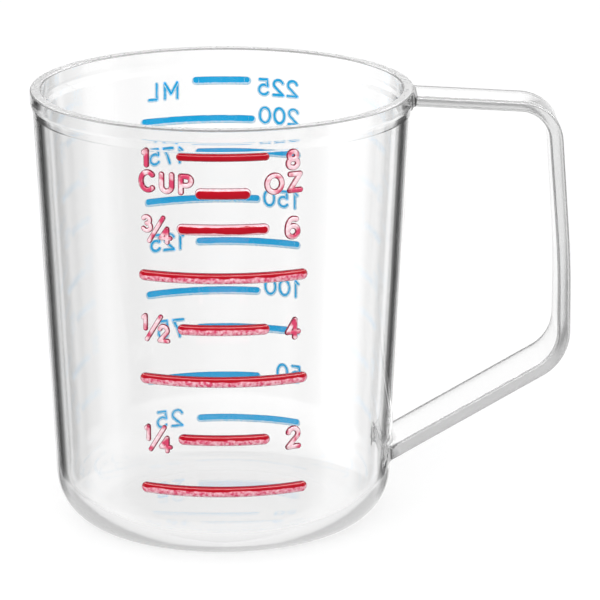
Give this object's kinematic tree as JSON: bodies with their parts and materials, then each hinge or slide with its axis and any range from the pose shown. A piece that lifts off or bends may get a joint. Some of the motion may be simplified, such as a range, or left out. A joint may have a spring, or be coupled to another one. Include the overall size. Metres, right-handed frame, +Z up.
{
  "type": "mixing cup",
  "caption": "Clear moulded mixing and measuring cup with a flared lip, a flat strap handle and raised volume scales on opposite sides.",
  "frame": {"origin": "on the cup's axis, in the plane of the flat base that the cup stands on", "axes": "+Z up along the cup's axis to the open mouth, +X toward the handle, -Y out of the ounce scale and +Y out of the millilitre scale"},
  "size_m": [0.0997, 0.0706, 0.0825],
  "materials": {
    "clear_plastic": "clear, polished, moulded",
    "red_ink": "red ink on a raised clear bar",
    "blue_ink": "blue ink on a raised clear bar"
  },
  "bodies": {
    "root": {"cup_body": "clear_plastic", "handle": "clear_plastic", "ounce_bar_1": "red_ink", "ounce_bar_2": "red_ink", "ounce_bar_3": "red_ink", "ounce_bar_4": "red_ink", "ounce_bar_5": "red_ink", "ounce_bar_6": "red_ink", "ounce_bar_7": "red_ink", "ounce_bar_8": "red_ink", "millilitre_bar_25": "blue_ink", "millilitre_bar_50": "blue_ink", "millilitre_bar_75": "blue_ink", "millilitre_bar_100": "blue_ink", "millilitre_bar_125": "blue_ink", "millilitre_bar_150": "blue_ink", "millilitre_bar_175": "blue_ink", "millilitre_bar_200": "blue_ink", "millilitre_bar_225": "blue_ink"}
  },
  "joints": []
}
